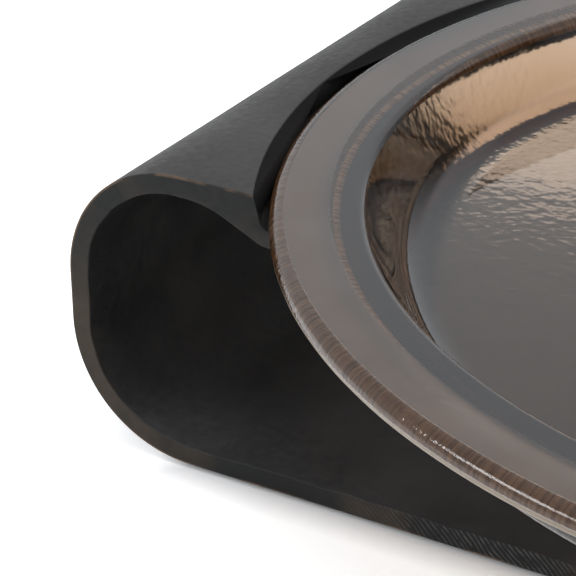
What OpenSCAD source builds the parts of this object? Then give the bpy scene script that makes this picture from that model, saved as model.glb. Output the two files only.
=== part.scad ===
// Rolled plate stand with a round glass dish.
// The plate lies on the floor and rolls up and over at both ends. Its two upturned
// lips are cut away in an arc, and a ledge welded under each arc carries the dish.
// Origin: middle of the stand, on the floor. +X runs along the plate from roll to
// roll, +Y runs from front to back, +Z is up.

/* [Rolled plate] */
// Width of the stand over both rolls
stand_width = 792; // [780:1:820]
// Depth of the plate from front to back
plate_depth = 320; // [240:5:360]
// Thickness of the plate
plate_thickness = 10; // [8:0.5:12]
// Height of the rolled plate, without its foot pads
plate_height = 148; // [144:1:160]
// Outer radius of each bend of a roll
bend_radius = 62; // [54:1:68]

/* [Seat for the dish] */
// Gap between the dish and the top edge of the arc cut
seat_gap = 7; // [6:0.5:12]
// Gap between the dish and the foot of the arc cut
seat_foot_gap = 3.5; // [2:0.5:6]
// Depth of the ledge's top below the plate's top
ledge_drop = 16; // [15:0.5:18]
// Thickness of the ledge
ledge_thickness = 8; // [6:0.5:10]
// How far the ledge reaches in under the dish, from the foot of the arc cut
ledge_reach = 26; // [23:0.5:27]
// How far the ledge's web reaches out under the plate
web_reach = 26; // [20:1:30]

/* [Glass dish] */
// Outer diameter of the dish
dish_diameter = 656; // [644:1:662]
// Depth of the dish's top below the plate's top
dish_drop = 1; // [0:0.5:2]
// Thickness of the rim
rim_thickness = 10.5; // [10:0.1:12]
// Width of the rim's top, from its outer edge to the bevel
rim_width = 26; // [24:0.5:28]
// Radius of the rim's outer edge above
rim_top_radius = 6; // [3:0.5:6]
// Radius of the rim's outer edge below
rim_bottom_radius = 4; // [2:0.5:4]
// Width of the bevel, to the corner where the inside of the wall begins
bevel_width = 14.5; // [13:0.5:16]
// Slope of the bevel
bevel_angle = 4; // [2:1:12]
// Radius that rounds the corner between the bevel and the wall
shoulder_radius = 5; // [3:0.5:8]
// Slope of the inside of the wall
wall_angle = 62; // [60:1:66]
// Depth of the dish's floor below its rim
bowl_depth = 38.5; // [36:0.5:42]
// Radius that rounds the inside of the foot of the wall
foot_radius = 21.5; // [15:0.5:24]
// Thickness of the floor
floor_thickness = 11; // [9:0.5:12]
// Distance from the inside corner of the foot out to the outside corner
foot_width = 18.5; // [16:0.5:20]
// Slope of the outside of the wall
outer_wall_angle = 72; // [70:1:80]
// Radius that rounds the outside of the foot of the wall
outer_foot_radius = 10; // [6:1:14]
// Radius under the rim, where the outside of the wall meets it
under_rim_radius = 3; // [2:0.5:4]

/* [Bumpers and foot pads] */
// Diameter of a clear bumper under the rim
bumper_diameter = 10; // [8:0.5:12]
// Gap left between the bumpers and the rim
bumper_gap = 0.3; // [0.3:0.1:1]
// Distance from the dish's axis to each bumper
bumper_circle_radius = 317; // [315:0.5:320]
// Angle between neighbouring bumpers
bumper_pitch = 23; // [15:1:24]
// Diameter of a foot pad
pad_diameter = 26; // [20:1:30]
// Height of a foot pad
pad_height = 2; // [1:0.5:4]
// Distance of each pad's centre from the plate's front or back edge
pad_inset = 17; // [16:1:30]

/* [Hidden] */
$fn = 96;

// Steps in each rounded corner of the dish's section
arc_steps = 8;
// Angle over which each ledge is turned before its ends are cut straight
ledge_turn = 90;
// Extra length that takes a cut clear through its surface
through = 10;
// Distance that the ledge's ends stand in from the plate's front and back edges
ledge_end_inset = 0.5;

plate_bottom = pad_height;
plate_top = pad_height + plate_height;
ledge_top = plate_top - ledge_drop;
ledge_bottom = ledge_top - ledge_thickness;
bend_x = stand_width / 2 - bend_radius;

dish_radius = dish_diameter / 2;
dish_top = plate_top - dish_drop;
rim_bottom = dish_top - rim_thickness;
dish_floor = dish_top - bowl_depth;
bumper_height = rim_bottom - bumper_gap - ledge_top;

seat_top_radius = dish_radius + seat_gap;
seat_foot_radius = dish_radius + seat_foot_gap;
seat_slope = (seat_top_radius - seat_foot_radius) / ledge_drop;
ledge_inner_radius = seat_foot_radius - ledge_reach;
web_depth = plate_top - plate_thickness - ledge_bottom;

// Radius of the arc cut at height z
function seat_radius(z) = seat_foot_radius + seat_slope * (z - ledge_top);

// Unit vector from one point to another
function toward(from, to) = (to - from) / norm(to - from);

// Points that round the corner at b, on the way from a to c, to a radius
function rounded(a, b, c, radius) =
    let (u = toward(b, a), v = toward(b, c),
        half = acos(u * v) / 2,
        middle = b + toward([0, 0], u + v) * radius / sin(half),
        start = b + u * radius / tan(half) - middle,
        finish = b + v * radius / tan(half) - middle,
        from = atan2(start.y, start.x),
        turn = atan2(finish.y, finish.x) - from,
        sweep = turn > 180 ? turn - 360 : turn < -180 ? turn + 360 : turn)
    [for (i = [0:arc_steps]) let (angle = from + sweep * i / arc_steps)
        middle + radius * [cos(angle), sin(angle)]];

// Solid outline of a slab with rounded corners, from x = -w/2 and z = 0
module rounded_slab(w, h, r) {
    translate([-w / 2, r]) square([w, h - 2 * r]);
    translate([-w / 2 + r, 0]) square([w - 2 * r, h]);
    for (x = [-w / 2 + r, w / 2 - r], z = [r, h - r]) translate([x, z]) circle(r = r);
}

// An outline in X and Z, drawn out to a depth that is centred on Y
module along_y(depth) {
    translate([0, depth / 2, 0]) rotate([90, 0, 0]) linear_extrude(depth) children();
}

// The space inside the rolled plate
module plate_inside(depth) {
    along_y(depth) translate([0, plate_bottom + plate_thickness])
        rounded_slab(stand_width - 2 * plate_thickness, plate_height - 2 * plate_thickness,
            bend_radius - plate_thickness);
}

// The tapered arc cut that opens the plate's top for the dish
module seat_cut() {
    low = plate_top - plate_height / 3;
    high = plate_top + through;
    translate([0, 0, low]) cylinder(h = high - low, r1 = seat_radius(low), r2 = seat_radius(high));
}

module rolled_plate() {
    color([0.20, 0.19, 0.18]) difference() {
        along_y(plate_depth) translate([0, plate_bottom])
            rounded_slab(stand_width, plate_height, bend_radius);
        plate_inside(plate_depth + through);
        seat_cut();
    }
}

// One ledge and its web, on the side where side is -1 for left and 1 for right
module seat_ledge(side) {
    web_radius = seat_foot_radius + web_reach;
    color([0.17, 0.16, 0.15]) intersection() {
        rotate([0, 0, (side < 0 ? 180 : 0) - ledge_turn / 2])
            rotate_extrude(angle = ledge_turn)
                polygon([[ledge_inner_radius, ledge_bottom],
                    [seat_foot_radius, ledge_bottom],
                    [web_radius, ledge_bottom + web_depth],
                    [web_radius, plate_top],
                    [seat_radius(plate_top), plate_top],
                    [seat_foot_radius, ledge_top],
                    [ledge_inner_radius, ledge_top]]);
        plate_inside(plate_depth - 2 * ledge_end_inset);
    }
}

// A clear bumper on a ledge, row steps away from the middle one
module bumper(side, row) {
    a = side < 0 ? 180 - row * bumper_pitch : row * bumper_pitch;
    color([0.80, 0.80, 0.77])
        translate([bumper_circle_radius * cos(a), bumper_circle_radius * sin(a), ledge_top])
            cylinder(h = bumper_height, d = bumper_diameter);
}

// A foot pad under a corner of the plate
module foot_pad(side, end) {
    color([0.75, 0.74, 0.70])
        translate([side * bend_x, end * (plate_depth / 2 - pad_inset), 0])
            cylinder(h = pad_height, d = pad_diameter);
}

// The dish's section is drawn as its corners, each with the radius that rounds it
module glass_dish() {
    rim_inner = dish_radius - rim_width;
    shoulder = [rim_inner - bevel_width, dish_top - bevel_width * tan(bevel_angle)];
    foot = [shoulder.x - (shoulder.y - dish_floor) / tan(wall_angle), dish_floor];
    outer_foot = [foot.x + foot_width, dish_floor - floor_thickness];
    under_rim = [outer_foot.x + (rim_bottom - outer_foot.y) / tan(outer_wall_angle), rim_bottom];
    corners = [[0, outer_foot.y], outer_foot, under_rim, [dish_radius, rim_bottom],
        [dish_radius, dish_top], [rim_inner, dish_top], shoulder, foot, [0, dish_floor]];
    radii = [0, outer_foot_radius, under_rim_radius, rim_bottom_radius, rim_top_radius, 0,
        shoulder_radius, foot_radius, 0];

    color([0.42, 0.33, 0.26, 0.6]) rotate_extrude($fn = 180) polygon(
        [for (i = [0:len(corners) - 1])
            each radii[i] > 0 ? rounded(corners[i - 1], corners[i], corners[i + 1], radii[i]) : [corners[i]]]);
}

rolled_plate();
seat_ledge(-1);  // seat_ledge_left
seat_ledge(1);  // seat_ledge_right
bumper(-1, -1);  // bumper_left_front
bumper(-1, 0);  // bumper_left_middle
bumper(-1, 1);  // bumper_left_back
bumper(1, -1);  // bumper_right_front
bumper(1, 0);  // bumper_right_middle
bumper(1, 1);  // bumper_right_back
foot_pad(-1, -1);  // foot_pad_left_front
foot_pad(-1, 1);  // foot_pad_left_back
foot_pad(1, -1);  // foot_pad_right_front
foot_pad(1, 1);  // foot_pad_right_back
glass_dish();
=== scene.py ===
"""Looks of a rolled plate stand with a glass dish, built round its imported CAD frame."""
import math
import bpy
import numpy as np
from mathutils import Matrix, Vector, noise


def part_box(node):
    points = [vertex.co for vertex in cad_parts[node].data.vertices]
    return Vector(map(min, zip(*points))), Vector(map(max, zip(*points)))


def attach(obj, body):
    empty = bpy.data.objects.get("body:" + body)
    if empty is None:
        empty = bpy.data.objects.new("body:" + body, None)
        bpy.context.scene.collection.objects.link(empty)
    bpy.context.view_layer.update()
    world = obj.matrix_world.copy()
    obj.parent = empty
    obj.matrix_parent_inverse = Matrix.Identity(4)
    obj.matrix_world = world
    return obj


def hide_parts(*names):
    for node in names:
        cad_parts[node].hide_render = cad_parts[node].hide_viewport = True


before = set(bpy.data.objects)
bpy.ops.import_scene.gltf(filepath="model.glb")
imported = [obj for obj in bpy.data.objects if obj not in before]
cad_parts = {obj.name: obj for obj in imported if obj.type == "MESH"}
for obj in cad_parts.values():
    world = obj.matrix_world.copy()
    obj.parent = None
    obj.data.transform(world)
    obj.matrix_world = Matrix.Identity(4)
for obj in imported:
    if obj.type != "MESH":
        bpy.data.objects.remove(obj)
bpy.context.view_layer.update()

# ---------------------------------------------------------------- sizes, in metres
MM = 0.001
PLATE_LOW, PLATE_HIGH = (np.array(corner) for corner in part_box("rolled_plate"))
DISH_LOW, DISH_HIGH = (np.array(corner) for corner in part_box("glass_dish"))
LEDGE_LOW, LEDGE_HIGH = (np.array(corner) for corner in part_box("seat_ledge_left"))
BUMPER_LOW, BUMPER_HIGH = (np.array(corner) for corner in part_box("bumper_left_middle"))

# The rolled plate, as in the CAD model
PLATE_THICKNESS = 10 * MM
BEND_RADIUS = 62 * MM
MID_RADIUS = BEND_RADIUS - PLATE_THICKNESS / 2
HALF_WIDTH = PLATE_HIGH[0]
HALF_DEPTH = PLATE_HIGH[1]
PLATE_BOTTOM, PLATE_TOP = PLATE_LOW[2], PLATE_HIGH[2]
PLATE_INSIDE_TOP = PLATE_TOP - PLATE_THICKNESS
BEND_X = HALF_WIDTH - BEND_RADIUS
BEND_TOP_Z = PLATE_TOP - BEND_RADIUS
BEND_LOW_Z = PLATE_BOTTOM + BEND_RADIUS
PLATE_EDGE = 0.8 * MM

# The dish
DISH_RADIUS = DISH_HIGH[0]
DISH_TOP = DISH_HIGH[2]
DISH_BOTTOM = DISH_LOW[2]
RIM_BOTTOM = DISH_TOP - 10.5 * MM
RIM_INNER = DISH_RADIUS - 26 * MM
BEVEL_WIDTH = 14.5 * MM
BEVEL_ANGLE = math.radians(4)
WALL_ANGLE = math.radians(62)
BOWL_DEPTH = 38.5 * MM
FOOT_WIDTH = 18.5 * MM
OUTER_WALL_ANGLE = math.radians(72)
RIM_TOP_RADIUS = 6 * MM
RIM_BOTTOM_RADIUS = 4 * MM
SHOULDER_RADIUS = 5 * MM
FOOT_RADIUS = 21.5 * MM
OUTER_FOOT_RADIUS = 10 * MM
UNDER_RIM_RADIUS = 3 * MM
CREASE_RADIUS = 0.3 * MM
GROUND_RADIUS = DISH_RADIUS - 22 * MM

# The seat that the lips and the ledges form under the dish
LEDGE_BOTTOM = LEDGE_LOW[2]
LEDGE_TOP = BUMPER_LOW[2]
SEAT_TOP_RADIUS = DISH_RADIUS + 7 * MM
SEAT_FOOT_RADIUS = DISH_RADIUS + 3.5 * MM
LEDGE_INNER_RADIUS = SEAT_FOOT_RADIUS - 26 * MM
WEB_REACH = 26 * MM
WEB_FILLET = 38 * MM
WEB_CORNER_RADIUS = 9 * MM

# How unevenly the plate was rolled and the dish was cast
PLATE_INSIDE_WAVE = 1.1 * MM
PLATE_OUTSIDE_WAVE = 0.25 * MM
DISH_UNDER_WAVE = 0.3 * MM
DISH_TOP_WAVE = 0.03 * MM


# ---------------------------------------------------------------- mesh helpers
def wave(points, scale, seed):
    """Smooth noise from -1 to 1 at each point, with features about one scale across."""
    shift = Vector((seed * 17.3, seed * 5.1, seed * 9.7))
    return np.array([noise.noise(Vector(p) / scale + shift) for p in points])


def grid_faces(rows, columns):
    """Quads between rows of points, numbered row by row, where each row is a closed loop."""
    index = np.arange(rows * columns).reshape(rows, columns)
    following = np.roll(index, -1, axis=1)
    quads = np.stack([index[:-1], index[1:], following[1:], following[:-1]], -1)
    return quads.reshape(-1, 4).tolist()


def rounded(before, corner, after, radius):
    """Points that round a corner of an outline to a radius."""
    before, corner, after = (np.array(point, float) for point in (before, corner, after))
    u = (before - corner) / np.linalg.norm(before - corner)
    v = (after - corner) / np.linalg.norm(after - corner)
    half = math.acos(u @ v) / 2
    middle = corner + (u + v) / np.linalg.norm(u + v) * radius / math.sin(half)
    start = corner + u * radius / math.tan(half) - middle
    finish = corner + v * radius / math.tan(half) - middle
    first = math.atan2(start[1], start[0])
    sweep = (math.atan2(finish[1], finish[0]) - first + math.pi) % (2 * math.pi) - math.pi
    steps = max(3, math.ceil(abs(sweep) / math.radians(7)))
    angles = first + sweep * np.arange(steps + 1) / steps
    return [middle + radius * np.array([math.cos(a), math.sin(a)]) for a in angles]


def straight(start, end, step, margin=0.4 * MM):
    """Points between start and end, one step apart, with one more close to each end."""
    start, end = np.array(start, float), np.array(end, float)
    length = np.linalg.norm(end - start)
    if length < 3 * margin:
        return []
    count = max(1, math.ceil((length - 2 * margin) / step))
    along = np.linspace(margin, length - margin, count + 1)
    return [start + (end - start) * a / length for a in along]


def outline(corners, step, closed=False):
    """Points of an outline of corners (r, z, radius), and the number of each point's corner.

    Points on the straight run that leaves corner i are numbered i + 0.5.
    """
    count = len(corners)
    arcs = []
    for i, (r, z, radius) in enumerate(corners):
        if radius:
            before, after = corners[i - 1][:2], corners[(i + 1) % count][:2]
            arcs.append(rounded(before, (r, z), after, radius))
        else:
            arcs.append([np.array([r, z])])
    points, places = [], []
    for i, bend in enumerate(arcs):
        points += bend
        places += [i] * len(bend)
        if closed or i < count - 1:
            run = straight(bend[-1], arcs[(i + 1) % count][0], step)
            points += run
            places += [i + 0.5] * len(run)
    return np.array(points), np.array(places)


def outward(points, closed=False):
    """Unit normals on the right-hand side of a walk along an outline."""
    if closed:
        ahead, behind = np.roll(points, -1, axis=0), np.roll(points, 1, axis=0)
    else:
        ahead = np.concatenate([points[1:], points[-1:]])
        behind = np.concatenate([points[:1], points[:-1]])
    along = ahead - behind
    normals = np.column_stack([along[:, 1], -along[:, 0]])
    return normals / np.linalg.norm(normals, axis=1)[:, None]


def revolve(section, steps):
    """Points and faces of an outline turned about Z. The outline starts and ends on the axis."""
    inner = section[1:-1]
    angles = np.linspace(0, 2 * math.pi, steps, endpoint=False)
    ring = np.stack([np.cos(angles), np.sin(angles)], -1)
    rows = [np.column_stack([ring * r, np.full(steps, z)]) for r, z in inner]
    poles = [[0, 0, section[0][1]], [0, 0, section[-1][1]]]
    points = np.concatenate(rows + [poles])
    faces = [face[::-1] for face in grid_faces(len(inner), steps)]
    low, high = len(inner) * steps, len(inner) * steps + 1
    last = (len(inner) - 1) * steps
    for i in range(steps):
        j = (i + 1) % steps
        faces.append([low, j, i])
        faces.append([high, last + i, last + j])
    return points, faces


def paint(made, name, values):
    """Stores a value for each point, for the material to read."""
    layer = made.data.attributes.new(name, "FLOAT", "POINT")
    layer.data.foreach_set("value", np.asarray(values, np.float32).ravel())


def piece(name, points, faces, material, body, slot, *nodes):
    """A smooth-shaded mesh that rides on a body and stands for CAD nodes."""
    mesh = bpy.data.meshes.new(name)
    mesh.from_pydata([tuple(point) for point in points], [], faces)
    mesh.validate()
    mesh.shade_smooth()
    mesh.materials.append(material)
    made = bpy.data.objects.new(name, mesh)
    bpy.context.scene.collection.objects.link(made)
    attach(made, body)
    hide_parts(*nodes)
    return made


# ---------------------------------------------------------------- materials
class Graph:
    """The nodes of a material or a world, with short forms for making and joining them."""

    def __init__(self, owner, place="Object"):
        owner.use_nodes = True
        self.owner = owner
        self.nodes = owner.node_tree.nodes
        self.links = owner.node_tree.links
        self.shader = self.nodes.get("Principled BSDF")
        self.place = self.node("ShaderNodeTexCoord").outputs[place]

    def put(self, socket, value):
        """Joins an output to a socket, or sets the socket to a plain value."""
        if isinstance(value, bpy.types.NodeSocket):
            self.links.new(value, socket)
        else:
            socket.default_value = value

    def node(self, kind, inputs=(), **settings):
        made = self.nodes.new(kind)
        for name, value in settings.items():
            setattr(made, name, value)
        for socket, value in enumerate(inputs):
            self.put(made.inputs[socket], value)
        return made

    def math(self, operation, a, b=0.0, c=0.0):
        return self.node("ShaderNodeMath", (a, b, c), operation=operation).outputs[0]

    def vector(self, operation, a, b=(0, 0, 0)):
        return self.node("ShaderNodeVectorMath", (a, b), operation=operation).outputs[0]

    def split(self, vector):
        """The X, Y and Z of a vector."""
        return self.node("ShaderNodeSeparateXYZ", (vector,)).outputs

    def painted(self, *names):
        """Values that were painted on the mesh's points, one for each name."""
        return [self.node("ShaderNodeAttribute", attribute_name=name).outputs["Fac"] for name in names]

    def noise(self, place, scale, detail=2.0):
        made = self.node("ShaderNodeTexNoise")
        self.put(made.inputs["Vector"], place)
        made.inputs["Scale"].default_value = scale
        made.inputs["Detail"].default_value = detail
        return made.outputs[0]

    def spread(self, value, low, high, to_low=0.0, to_high=1.0):
        """Maps low..high onto to_low..to_high, and holds it there."""
        return self.node("ShaderNodeMapRange", (value, low, high, to_low, to_high)).outputs[0]

    def blend(self, factor, a, b):
        made = self.node("ShaderNodeMix", data_type="RGBA")
        for name, value in (("Factor", factor), ("A", a), ("B", b)):
            socket = next(s for s in made.inputs if s.name == name and s.enabled)
            self.put(socket, value if isinstance(value, (float, bpy.types.NodeSocket)) else (*value, 1))
        return next(s for s in made.outputs if s.enabled)

    def bump(self, height, distance, under=None):
        made = self.node("ShaderNodeBump")
        self.put(made.inputs["Height"], height)
        made.inputs["Distance"].default_value = distance
        if under:
            self.put(made.inputs["Normal"], under)
        return made.outputs[0]

    def round_place(self, across, along, up):
        """A place for streaks that run outwards from the Z axis.

        The three scales are round the axis, along a radius and up the axis.
        """
        flat = self.vector("MULTIPLY", self.place, (1, 1, 0))
        turned = self.node("ShaderNodeVectorMath", (self.vector("NORMALIZE", flat),), operation="SCALE")
        turned.inputs["Scale"].default_value = across
        radius = self.node("ShaderNodeVectorMath", (flat,), operation="LENGTH").outputs["Value"]
        height = self.split(self.place)[2]
        depth = self.math("ADD", self.math("MULTIPLY", radius, along), self.math("MULTIPLY", height, up))
        made = self.node("ShaderNodeCombineXYZ")
        self.put(made.inputs[2], depth)
        return self.vector("ADD", turned.outputs[0], made.outputs[0])


# Steel: colours
INSIDE_BLACK = (0.014, 0.0138, 0.0135)
INSIDE_CLOUD = (0.036, 0.033, 0.0305)
# dust on the inside floor, also standing as painted light in the shaded lower bends
INSIDE_DUST_AND_LIGHT = (0.066, 0.067, 0.069)
OUTSIDE_DARK = (0.030, 0.028, 0.0265)
OUTSIDE_LIGHT = (0.048, 0.046, 0.044)
# painted shade: near black for the walls of the arc cuts beside the dish
PAINTED_SHADE_BLACK = (0.006, 0.006, 0.006)
CUT_GREY = (0.011, 0.0113, 0.0112)
CUT_BROWN = (0.034, 0.026, 0.019)
CUT_SCORED = (0.080, 0.078, 0.076)
WORN_BRONZE = (0.13, 0.085, 0.055)
# Steel: finish
STEEL_METALLIC = 0.2
STEEL_GLOSS = 0.17
STEEL_ROUGH = (0.50, 0.65)
SCORE_PITCH = 3.1 * MM
SCORE_WOBBLE = 6 * MM
GRAIN_BUMP = 0.08 * MM
CLOUD_BUMP = 0.6 * MM
SCORE_BUMP = 0.06 * MM


def steel():
    """Waxed black-brown patina: clouded inside, greyer outside, scored where cut, bronze on worn edges."""
    graph = Graph(bpy.data.materials.new("patinated_steel"))
    outside, cut, worn, scored, handled, dusty, painted_shade = graph.painted(
        "outside", "cut", "worn", "scored", "handled", "dusty", "painted_shade")
    clouds = graph.noise(graph.place, 22, 4.0)
    patches = graph.noise(graph.place, 9, 3.0)
    grain = graph.noise(graph.place, 260, 3.0)

    # the inside: black with brown clouds, and dust where it lies level; the dust is heaviest at the lower
    # bends, where it is also painted light in their shade
    speckled = graph.math("ADD", clouds, graph.math("MULTIPLY", grain, 0.35))
    inside = graph.blend(graph.spread(speckled, 0.58, 0.88), INSIDE_BLACK, INSIDE_CLOUD)
    patchy = graph.spread(patches, 0.3, 0.6, 0.4, 1.0)
    dust = graph.math("MULTIPLY", patchy, graph.spread(grain, 0.3, 0.7, 0.7, 1.0))
    inside = graph.blend(graph.math("MULTIPLY", dusty, dust), inside, INSIDE_DUST_AND_LIGHT)
    out = graph.blend(graph.spread(patches, 0.35, 0.65), OUTSIDE_DARK, OUTSIDE_LIGHT)

    # the cut faces: browned by handling, and scored aslant
    browned = graph.math("ADD", graph.spread(clouds, 0.46, 0.66), graph.math("MULTIPLY", handled, 0.8))
    cut_face = graph.blend(graph.math("MINIMUM", browned, 1.0), CUT_GREY, CUT_BROWN)
    x, y, z = graph.split(graph.place)
    slant = graph.math("ADD", x, z)
    wobble = graph.math("MULTIPLY", graph.noise(graph.place, 60, 2.0), SCORE_WOBBLE)
    turn = graph.math("MULTIPLY", graph.math("ADD", slant, wobble), 2 * math.pi / SCORE_PITCH)
    score = graph.math("MULTIPLY", graph.spread(graph.math("SINE", turn), -0.3, 1.0), scored)
    score_marks = graph.math("MULTIPLY", score, graph.spread(grain, 0.3, 0.7))
    cut_face = graph.blend(score_marks, cut_face, CUT_SCORED)

    colour = graph.blend(outside, inside, out)
    colour = graph.blend(cut, colour, cut_face)
    rubbed = graph.math("MULTIPLY", worn, graph.spread(graph.noise(graph.place, 30, 4.0), 0.46, 0.62))
    colour = graph.blend(rubbed, colour, WORN_BRONZE)
    # painted shade: the walls of the arc cuts darken to near black, most at their lower side
    colour = graph.blend(painted_shade, colour, PAINTED_SHADE_BLACK)
    graph.put(graph.shader.inputs["Base Color"], colour)
    graph.put(graph.shader.inputs["Roughness"], graph.spread(grain, 0.3, 0.7, *STEEL_ROUGH))
    graph.shader.inputs["Metallic"].default_value = STEEL_METALLIC
    graph.shader.inputs["Specular IOR Level"].default_value = STEEL_GLOSS
    fine = graph.bump(grain, GRAIN_BUMP)
    broad = graph.bump(clouds, CLOUD_BUMP, fine)
    graph.put(graph.shader.inputs["Normal"], graph.bump(score, SCORE_BUMP, broad))
    return graph.owner


# Glass: colours
GLASS_CLEAR = (0.80, 0.83, 0.90)
GLASS_SATIN = (0.47, 0.44, 0.41)
GLASS_GROUND_DARK = (0.29, 0.225, 0.16)
GLASS_GROUND_LIGHT = (0.58, 0.47, 0.35)
# painted shade on the rounded lower outer edge of the rim
GLASS_EDGE_SHADE = (0.19, 0.145, 0.095)
# painted shade on the dish's bottom, dimming what is seen through it
GLASS_BENEATH_SHADE = (0.46, 0.46, 0.48)
GLASS_ABSORBED = (0.64, 0.44, 0.20)
# Glass: finish
GLASS_DENSITY = 114
GLASS_IOR = 1.5
SATIN_ROUGH = (0.28, 0.30)
RIPPLE_ROUGH = 0.14
GROUND_ROUGH = 0.32
SATIN_DULL = (0.050, 0.086)
GROUND_DULL = 0.75
HAMMERED_BUMP = 0.36 * MM
RIBS_BUMP = 0.22 * MM
STREAKS_BUMP = 0.004 * MM
BROAD_BUMP = 0.15 * MM


def glass():
    """Smoked glass: polished inside, satin on top of the rim, ground under it, rippled below."""
    graph = Graph(bpy.data.materials.new("smoked_glass"))
    satin, ripple, side, ground, edge, painted_shade_beneath = graph.painted(
        "satin", "ripple", "side", "ground", "edge", "painted_shade_beneath")
    hammered = graph.noise(graph.place, 170, 1.0)
    streaks = graph.noise(graph.round_place(420, 60, 60), 1.0, 2.0)
    ribs = graph.noise(graph.round_place(190, 20, 20), 1.0, 1.5)
    broad = graph.noise(graph.place, 28, 2.0)

    ribbed = graph.blend(graph.spread(ribs, 0.40, 0.60), GLASS_GROUND_DARK, GLASS_GROUND_LIGHT)
    # painted shade: the rounding at the rim's lower outer edge is darkened
    ribbed = graph.blend(edge, ribbed, GLASS_EDGE_SHADE)
    colour = graph.blend(satin, GLASS_CLEAR, GLASS_SATIN)
    # painted shade: the dish's bottom is greyed, so less light passes through it
    colour = graph.blend(painted_shade_beneath, colour, GLASS_BENEATH_SHADE)
    graph.put(graph.shader.inputs["Base Color"], graph.blend(ground, colour, ribbed))

    rough = graph.math("MULTIPLY", satin, graph.spread(streaks, 0.3, 0.7, *SATIN_ROUGH))
    rough = graph.math("ADD", rough, graph.math("MULTIPLY", ripple, RIPPLE_ROUGH))
    rough = graph.math("ADD", rough, graph.math("MULTIPLY", ground, GROUND_ROUGH))
    graph.put(graph.shader.inputs["Roughness"], rough)

    mottled = graph.math("ADD", graph.math("MULTIPLY", streaks, 0.6), graph.math("MULTIPLY", broad, 0.4))
    dull = graph.math("MULTIPLY", satin, graph.spread(mottled, 0.40, 0.60, *SATIN_DULL))
    dull = graph.math("ADD", dull, graph.math("MULTIPLY", ground, GROUND_DULL))
    graph.put(graph.shader.inputs["Transmission Weight"], graph.math("SUBTRACT", 1.0, dull))
    graph.shader.inputs["IOR"].default_value = GLASS_IOR

    under = graph.bump(graph.math("MULTIPLY", hammered, ripple), HAMMERED_BUMP)
    beside = graph.bump(graph.math("MULTIPLY", ribs, side), RIBS_BUMP, under)
    above = graph.bump(graph.math("MULTIPLY", streaks, satin), STREAKS_BUMP, beside)
    graph.put(graph.shader.inputs["Normal"], graph.bump(broad, BROAD_BUMP, above))

    tint = graph.node("ShaderNodeVolumeAbsorption")
    tint.inputs["Color"].default_value = (*GLASS_ABSORBED, 1)
    tint.inputs["Density"].default_value = GLASS_DENSITY
    graph.links.new(tint.outputs["Volume"], graph.nodes["Material Output"].inputs["Volume"])
    return graph.owner


DUST_BUMP = 0.05 * MM


def rubber(name, pale, dusty, clear):
    """Soft moulded pads, a little dusty. Clear is how much light passes through."""
    graph = Graph(bpy.data.materials.new(name))
    dust = graph.noise(graph.place, 400, 3.0)
    graph.put(graph.shader.inputs["Base Color"], graph.blend(graph.spread(dust, 0.35, 0.7), pale, dusty))
    graph.put(graph.shader.inputs["Roughness"], graph.spread(dust, 0.3, 0.7, 0.25, 0.5))
    graph.shader.inputs["Transmission Weight"].default_value = clear
    graph.put(graph.shader.inputs["Normal"], graph.bump(dust, DUST_BUMP))
    return graph.owner


STEEL = steel()
GLASS = glass()
CLEAR_RUBBER = rubber("clear_bumper", (0.85, 0.85, 0.80), (0.60, 0.60, 0.56), 0.7)
PAD_RUBBER = rubber("foot_pad", (0.72, 0.71, 0.66), (0.50, 0.49, 0.45), 0.0)


# ---------------------------------------------------------------- the rolled plate
WALL_LENGTH = BEND_TOP_Z - BEND_LOW_Z
BEND_LENGTH = MID_RADIUS * math.pi / 2
HALF_FLOOR = BEND_X
TO_LIP = HALF_FLOOR + 2 * BEND_LENGTH + WALL_LENGTH
HANDLED_AT = HALF_FLOOR + 0.8 * BEND_LENGTH
# Length of each lip's end, and steps along the plate, the lip's end and its rounded edge
LIP_LENGTH = 25 * MM
PLATE_STEPS = 190
LIP_STEPS = 10
EDGE_STEPS = 4


def along_plate(s, offset):
    """(x, z) of the point at distance s along the plate's middle, offset outwards from it."""
    side = np.sign(s)
    s = np.abs(s)
    radius = MID_RADIUS + offset
    floor_x, floor_z = s, BEND_LOW_Z - radius
    a = (s - HALF_FLOOR) / MID_RADIUS
    low_x, low_z = BEND_X + radius * np.sin(a), BEND_LOW_Z - radius * np.cos(a)
    wall_x, wall_z = BEND_X + radius, BEND_LOW_Z + (s - HALF_FLOOR - BEND_LENGTH)
    b = (s - HALF_FLOOR - BEND_LENGTH - WALL_LENGTH) / MID_RADIUS
    high_x, high_z = BEND_X + radius * np.cos(b), BEND_TOP_Z + radius * np.sin(b)
    lip_x, lip_z = BEND_X - (s - TO_LIP), BEND_TOP_Z + radius
    ends = np.cumsum([HALF_FLOOR, BEND_LENGTH, WALL_LENGTH, BEND_LENGTH])
    where = [s <= end for end in ends]
    x = np.select(where, [floor_x, low_x, wall_x, high_x], lip_x)
    z = np.select(where, [floor_z, low_z, wall_z, high_z], lip_z)
    return side * x, z


def seat_radius(z):
    slope = (SEAT_TOP_RADIUS - SEAT_FOOT_RADIUS) / (PLATE_TOP - LEDGE_TOP)
    return SEAT_FOOT_RADIUS + slope * (z - LEDGE_TOP)


def lip_end(y, offset):
    """Distance along the plate at which the arc cut ends it, found by halving an interval."""
    low = np.full(np.shape(y), TO_LIP - 40 * MM)
    high = np.full(np.shape(y), TO_LIP + 80 * MM)
    for _ in range(40):
        middle = (low + high) / 2
        x, z = along_plate(middle, offset)
        outside = np.hypot(x, y) > seat_radius(z)
        low = np.where(outside, middle, low)
        high = np.where(outside, high, middle)
    return low


def plate_loop():
    """The plate's cross-section as a loop of (y, offset), and how far each point is on the cut end face."""
    half = PLATE_THICKNESS / 2
    corners = [
        (-HALF_DEPTH, half, PLATE_EDGE), (HALF_DEPTH, half, PLATE_EDGE),
        (HALF_DEPTH, -half, PLATE_EDGE), (-HALF_DEPTH, -half, PLATE_EDGE)]
    loop, places = outline(corners, 4 * MM, closed=True)
    normals = np.abs(outward(loop, closed=True))
    return loop[:, 0], loop[:, 1], normals[:, 0], places


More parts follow.
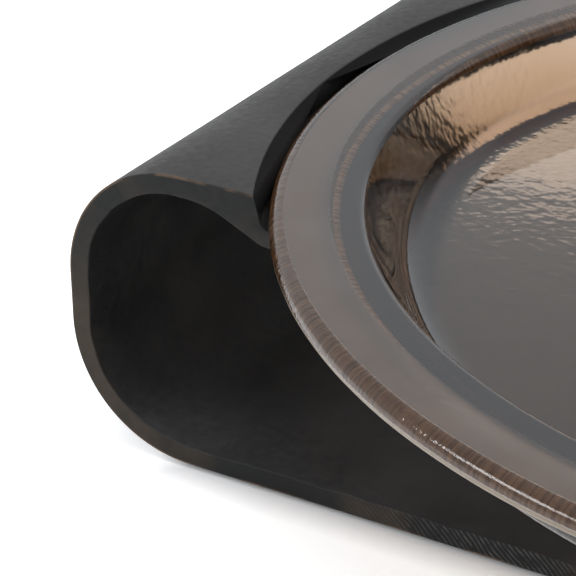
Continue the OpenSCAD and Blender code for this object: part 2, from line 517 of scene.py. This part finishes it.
def plate_rows(loop_y, loop_o, cut, outer_edge):
    """Rows of the plate's loop from one lip's end to the other: distance, offset, cut and worn."""
    half = PLATE_THICKNESS / 2
    count = len(loop_y)
    fixed = TO_LIP - LIP_LENGTH
    end_s = lip_end(loop_y, loop_o)
    rows = [(np.full(count, s), loop_o, cut, outer_edge) for s in np.linspace(0, fixed, PLATE_STEPS)]
    for t in np.linspace(0, 1, LIP_STEPS + 1)[1:]:
        rows.append((fixed + (end_s - PLATE_EDGE - fixed) * t, loop_o, cut, outer_edge))
    for a in np.linspace(0, math.pi / 2, EDGE_STEPS + 1)[1:]:
        shrink = PLATE_EDGE * (1 - math.cos(a))
        is_cut = cut * (a < math.pi / 2)
        is_worn = outer_edge * (a < math.pi / 4)
        rows.append((end_s - PLATE_EDGE * (1 - math.sin(a)), loop_o * (1 - shrink / half), is_cut, is_worn))
    rows = [(-s, o, c, w) for s, o, c, w in reversed(rows[1:])] + rows
    return [np.array([row[i] for row in rows], float) for i in range(4)]


def waver(s, y, o):
    """Offsets moved by the waver of the plate, and how far in through it each point is, from 0 to 1.

    The inside wavers most at the cut ends, and the outside only ever sinks in.
    """
    flat = np.stack([s, y, o], -1).reshape(-1, 3)
    near_end = np.clip(1 - (HALF_DEPTH - np.abs(y)) / (40 * MM), 0.3, 1)
    inner_part = (PLATE_THICKNESS / 2 - o) / PLATE_THICKNESS
    wavering = wave(flat, 34 * MM, 1).reshape(s.shape) + 0.5 * wave(flat, 13 * MM, 2).reshape(s.shape)
    sinking = (wave(flat, 70 * MM, 3).reshape(s.shape) - 1) / 2
    o = o + PLATE_INSIDE_WAVE * wavering * near_end * inner_part
    o = o + PLATE_OUTSIDE_WAVE * sinking * (1 - inner_part)
    return o, inner_part


def rolled_plate():
    loop_y, loop_o, cut, places = plate_loop()
    s, o, cut_rows, worn_rows = plate_rows(loop_y, loop_o, cut, np.isin(places, (0, 1)))
    row_count, count = s.shape
    worn_rows[[0, -1]] = 0
    y = np.tile(loop_y, (row_count, 1))
    o, inner_part = waver(s, y, o)
    x, z = along_plate(s, o)
    points = np.stack([x, y, z], -1).reshape(-1, 3)
    faces = grid_faces(row_count, count)
    faces.append(list(range(count)))
    faces.append([(row_count - 1) * count + i for i in reversed(range(count))])
    made = piece("plate", points, faces, STEEL, "base", "patinated_steel", "rolled_plate")

    # the walls of the arc cuts are the first and last rows: grey above, black below, darkened by painted
    # shade beside the dish
    outside = inner_part < 0.5
    outside[[0, -1]] = True
    painted_shade = np.zeros(s.shape)
    painted_shade[[0, -1]] = np.clip(0.6 + inner_part[[0, -1]], 0, 1)
    from_middle = np.abs(s)
    # dust on the inside floor, heaviest at the lower bends; there it is also painted light, lifting their
    # shade
    dust_and_light_at = HALF_FLOOR + np.array([-160, -50, 20, 75]) * MM
    paint(made, "outside", outside)
    paint(made, "painted_shade", painted_shade)
    paint(made, "cut", cut_rows)
    paint(made, "worn", worn_rows)
    paint(made, "dusty", (inner_part > 0.5) * np.interp(from_middle, dust_and_light_at, [0.45, 1.0, 1.0, 0.0]))
    paint(made, "handled", cut_rows * np.clip(1.5 - np.abs(from_middle - HANDLED_AT) / (50 * MM), 0, 1))
    paint(made, "scored", cut_rows * np.clip((HALF_FLOOR - 60 * MM - from_middle) / (90 * MM), 0, 1))


rolled_plate()


# ---------------------------------------------------------------- the ledges that carry the dish
def seat_ledge(name, side):
    """A ledge and its sloping web, welded under a lip. Its ends are cut in line with the plate's."""
    sunk = 2 * MM
    web_top = PLATE_INSIDE_TOP + sunk
    web_end = SEAT_FOOT_RADIUS + WEB_REACH + WEB_FILLET / 3
    weld = 2.2 * MM
    corners = [
        (LEDGE_INNER_RADIUS, LEDGE_BOTTOM, 1 * MM),
        (SEAT_FOOT_RADIUS, LEDGE_BOTTOM, WEB_CORNER_RADIUS),
        (SEAT_FOOT_RADIUS + WEB_REACH, PLATE_INSIDE_TOP, WEB_FILLET),
        (web_end, PLATE_INSIDE_TOP, 0.4 * MM),
        (web_end, web_top, 0.4 * MM),
        (seat_radius(web_top) + 0.5 * MM, web_top, 0.4 * MM),
        (seat_radius(PLATE_INSIDE_TOP), PLATE_INSIDE_TOP, 0.4 * MM),
        (seat_radius(LEDGE_TOP + weld), LEDGE_TOP + weld, 0.8 * MM),
        (SEAT_FOOT_RADIUS - weld, LEDGE_TOP, 0.8 * MM),
        (LEDGE_INNER_RADIUS, LEDGE_TOP, 1 * MM)]
    profile, _ = outline(corners, 3 * MM, closed=True)
    normals = outward(profile, closed=True)
    end = HALF_DEPTH - 0.05 * MM
    edge = 0.3 * MM
    turned = np.linspace(0, math.pi / 2, 4)
    near = [(end - edge * (1 - math.sin(a)), edge * (1 - math.cos(a)), math.sin(a)) for a in turned]
    middle = [(y, 0.0, 0.0) for y in np.linspace(0, end - edge, 60)[:-1]]
    half_rows = middle + near
    rows = [(-y, inset, cut) for y, inset, cut in reversed(half_rows[1:])] + half_rows
    points, cuts = [], []
    for y, inset, cut in rows:
        shrunk = profile - normals * inset
        x = np.sqrt(shrunk[:, 0] ** 2 - y ** 2)
        in_bend = np.clip(x - BEND_X, 0, MID_RADIUS)
        z = np.minimum(shrunk[:, 1], BEND_TOP_Z + np.sqrt(MID_RADIUS ** 2 - in_bend ** 2))
        points.append(np.column_stack([side * x, np.full(len(x), y), z]))
        cuts.append(np.full(len(x), cut))
    count = len(profile)
    faces = grid_faces(len(rows), count)
    faces.append(list(range(count)))
    faces.append([(len(rows) - 1) * count + i for i in reversed(range(count))])
    if side > 0:
        faces = [face[::-1] for face in faces]
    made = piece(name, np.concatenate(points), faces, STEEL, "base", "patinated_steel", name)
    paint(made, "cut", np.concatenate(cuts))
    return made


seat_ledge("seat_ledge_left", -1)
seat_ledge("seat_ledge_right", 1)


# ---------------------------------------------------------------- bumpers and foot pads
def pad(node, material, slot, top_radius, bottom_radius):
    """A small round pad with rounded edges, where its CAD node is."""
    low, high = (np.array(corner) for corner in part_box(node))
    middle = (low + high) / 2
    radius = (high[0] - low[0]) / 2
    corners = [
        (0, low[2], 0), (radius, low[2], bottom_radius),
        (radius, high[2], top_radius), (0, high[2], 0)]
    section, _ = outline(corners, 1 * MM)
    points, faces = revolve(section, 48)
    points[:, :2] += middle[:2]
    return piece(node, points, faces, material, "base", slot, node)


for side in ("left", "right"):
    for row in ("front", "middle", "back"):
        pad(f"bumper_{side}_{row}", CLEAR_RUBBER, "clear_bumper", 2.5 * MM, 0.3 * MM)
    for end in ("front", "back"):
        pad(f"foot_pad_{side}_{end}", PAD_RUBBER, "foot_pad", 0.3 * MM, 0.7 * MM)


# ---------------------------------------------------------------- the glass dish
DISH_STEPS = 480


def on_ring(values):
    """Values of the dish's outline, repeated for every point of the turned dish."""
    values = np.asarray(values, float)
    return np.concatenate([np.repeat(values[1:-1], DISH_STEPS), values[[0, -1]]])


def dish_section():
    """The dish's outline, from the axis out under the dish and back in over it."""
    shoulder = (RIM_INNER - BEVEL_WIDTH, DISH_TOP - BEVEL_WIDTH * math.tan(BEVEL_ANGLE))
    floor = DISH_TOP - BOWL_DEPTH
    foot = shoulder[0] - (shoulder[1] - floor) / math.tan(WALL_ANGLE)
    outer_foot = foot + FOOT_WIDTH
    under_rim = outer_foot + (RIM_BOTTOM - DISH_BOTTOM) / math.tan(OUTER_WALL_ANGLE)
    corners = [
        (0, DISH_BOTTOM, 0),
        (outer_foot, DISH_BOTTOM, OUTER_FOOT_RADIUS),
        (under_rim, RIM_BOTTOM, UNDER_RIM_RADIUS),
        (DISH_RADIUS, RIM_BOTTOM, RIM_BOTTOM_RADIUS),
        (DISH_RADIUS, DISH_TOP, RIM_TOP_RADIUS),
        (RIM_INNER, DISH_TOP, CREASE_RADIUS),
        (*shoulder, SHOULDER_RADIUS),
        (foot, floor, FOOT_RADIUS),
        (0, floor, 0)]
    return outline(corners, 4 * MM)


def glass_dish():
    section, places = dish_section()
    points, faces = revolve(section, DISH_STEPS)
    normals = outward(section)
    around = np.arctan2(points[:, 1], points[:, 0])
    nr, nz = on_ring(normals[:, 0]), on_ring(normals[:, 1])
    solid_normals = np.column_stack([nr * np.cos(around), nr * np.sin(around), nz])

    # below, the cast glass has sunk unevenly, and above it is nearly true
    under = on_ring(places <= 3.5)
    depth = np.where(under, DISH_UNDER_WAVE, DISH_TOP_WAVE)
    sinking = (0.6 * wave(points, 26 * MM, 4) + 0.4 * wave(points, 14 * MM, 5) - 1) / 2
    points = points + solid_normals * (depth * sinking)[:, None]
    made = piece("dish", points, faces, GLASS, "dish", "smoked_glass", "glass_dish")

    # satin on the rim's top, ripples below and faintly inside, ground glass under the rim
    paint(made, "satin", on_ring(np.select([places == 4.5, places == 5], [1.0, 0.6], 0.0)))
    rippled = np.select([places < 1, places <= 2.5, places >= 7], [1.0, 1.4, 0.10], 0.0)
    paint(made, "ripple", on_ring(rippled))
    paint(made, "side", on_ring((places >= 2.5) & (places <= 4)))
    # painted shade over the dish's bottom
    paint(made, "painted_shade_beneath", on_ring(places < 1))
    # painted shade on the rounding at the rim's lower outer edge
    paint(made, "edge", on_ring(places == 3))
    out = np.hypot(points[:, 0], points[:, 1])
    lower = on_ring((places >= 2.5) & (places <= 3))
    ground = lower * np.clip((out - GROUND_RADIUS) / (4 * MM), 0, 1)
    paint(made, "ground", np.maximum(ground, on_ring(places == 2)))


glass_dish()


# ---------------------------------------------------------------- floor, light and camera
CAMERA_AT = Vector((0.184, -0.919, 0.566))
YAW, PITCH, ROLL = -31.29, 27.21, -0.73
LENS, SENSOR = 143.05, 36.0
# Brightness of the studio by the sine of the height above its horizon, and the most that it may be
STUDIO = [(0.0, 1.0), (0.55, 1.0), (0.62, 0.75), (0.85, 0.85), (0.97, 1.8)]
STUDIO_TOP = 2.0
STUDIO_TINT = (0.96, 0.99, 1.03)
# One stretch of the room is dim: which way it lies, over what range it sets in, and how dim it is
DIM_WAY = (0.95, 0.3, 0.0)
DIM_TURN = (0.25, 0.65)
DIM_HEIGHT = (0.40, 0.30)
DIM = 0.1
# The lamps: where they are, their size and their power
OVERHEAD = ((0.25, 0.05, 1.9), (1.2, 0.9), 17)
SIDE_LIGHT = ((-1.29, -1.11, 0.85), (0.75, 0.35), 7)
FLOOR_SIZE = 12.0
FLOOR_WHITE = (0.9, 0.9, 0.9, 1)
FLOOR_ROUGH = 0.9
# painted light: the floor's glow; it fades to none over the shade width beside the plate, leaving a painted
# shadow
FLOOR_GLOW = 0.40
FLOOR_SHADE_WIDTH = 18 * MM


def camera():
    yaw, pitch = math.radians(YAW), math.radians(PITCH)
    aim = Vector((math.cos(pitch) * math.sin(yaw), math.cos(pitch) * math.cos(yaw), -math.sin(pitch)))
    data = bpy.data.cameras.new("camera")
    data.lens, data.sensor_width = LENS, SENSOR
    made = bpy.data.objects.new("camera", data)
    turn = aim.to_track_quat("-Z", "Y").to_matrix().to_4x4() @ Matrix.Rotation(math.radians(ROLL), 4, "Z")
    made.matrix_world = Matrix.Translation(CAMERA_AT) @ turn
    bpy.context.scene.collection.objects.link(made)
    bpy.context.scene.camera = made


def floor():
    """A white floor that glows a little as painted light, except in a narrow strip beside the plate, left
    as a painted shadow.
    """
    half = FLOOR_SIZE / 2
    mesh = bpy.data.meshes.new("floor")
    corners = [(-half, -half, 0), (half, -half, 0), (half, half, 0), (-half, half, 0)]
    mesh.from_pydata(corners, [], [[0, 1, 2, 3]])
    made = bpy.data.objects.new("floor", mesh)
    bpy.context.scene.collection.objects.link(made)
    graph = Graph(bpy.data.materials.new("floor"))
    graph.shader.inputs["Base Color"].default_value = FLOOR_WHITE
    graph.shader.inputs["Roughness"].default_value = FLOOR_ROUGH
    graph.shader.inputs["Emission Color"].default_value = (1, 1, 1, 1)
    x, y, z = graph.split(graph.place)
    beside = graph.math("SUBTRACT", graph.math("ABSOLUTE", x), BEND_X)
    before = graph.math("SUBTRACT", graph.math("ABSOLUTE", y), HALF_DEPTH)
    away = graph.math("MAXIMUM", beside, before)
    glow = graph.spread(away, 0.0, FLOOR_SHADE_WIDTH, 0.0, FLOOR_GLOW)
    graph.put(graph.shader.inputs["Emission Strength"], glow)
    mesh.materials.append(graph.owner)


def studio():
    """A bright room all round, brightest overhead, with one low dim stretch towards +X."""
    graph = Graph(bpy.data.worlds.new("studio"), "Generated")
    bpy.context.scene.world = graph.owner
    height = graph.split(graph.place)[2]

    curve = graph.node("ShaderNodeFloatCurve")
    graph.put(curve.inputs["Value"], height)
    points = curve.mapping.curves[0].points
    points[0].location = (STUDIO[0][0], STUDIO[0][1] / STUDIO_TOP)
    points[1].location = (1.0, STUDIO[-1][1] / STUDIO_TOP)
    for at, bright in STUDIO[1:]:
        points.new(at, bright / STUDIO_TOP)
    for point in points:
        point.handle_type = "VECTOR"
    curve.mapping.update()

    along = graph.node("ShaderNodeVectorMath", (graph.place, DIM_WAY), operation="DOT_PRODUCT")
    way = along.outputs["Value"]
    dim = graph.math("MULTIPLY", graph.spread(way, *DIM_TURN), graph.spread(height, *DIM_HEIGHT))
    bright = graph.math("MULTIPLY", curve.outputs[0], graph.spread(dim, 0.0, 1.0, 1.0, DIM))
    tint = graph.node("ShaderNodeVectorMath", (STUDIO_TINT,), operation="SCALE")
    graph.put(tint.inputs["Scale"], bright)
    background = graph.nodes["Background"]
    graph.put(background.inputs["Color"], tint.outputs[0])
    background.inputs["Strength"].default_value = STUDIO_TOP


def softbox(name, place, size, power):
    """A rectangular light aimed at the origin."""
    data = bpy.data.lights.new(name, "AREA")
    data.shape = "RECTANGLE"
    data.size, data.size_y = size
    data.energy = power
    made = bpy.data.objects.new(name, data)
    made.location = place
    made.rotation_euler = (-Vector(place)).to_track_quat("-Z", "Y").to_euler()
    bpy.context.scene.collection.objects.link(made)


camera()
floor()
studio()
softbox("overhead", *OVERHEAD)
softbox("side_light", *SIDE_LIGHT)
scene = bpy.context.scene
scene.view_settings.view_transform = "Standard"
scene.cycles.use_denoising = True
scene.cycles.max_bounces = 24
scene.cycles.transmission_bounces = 16
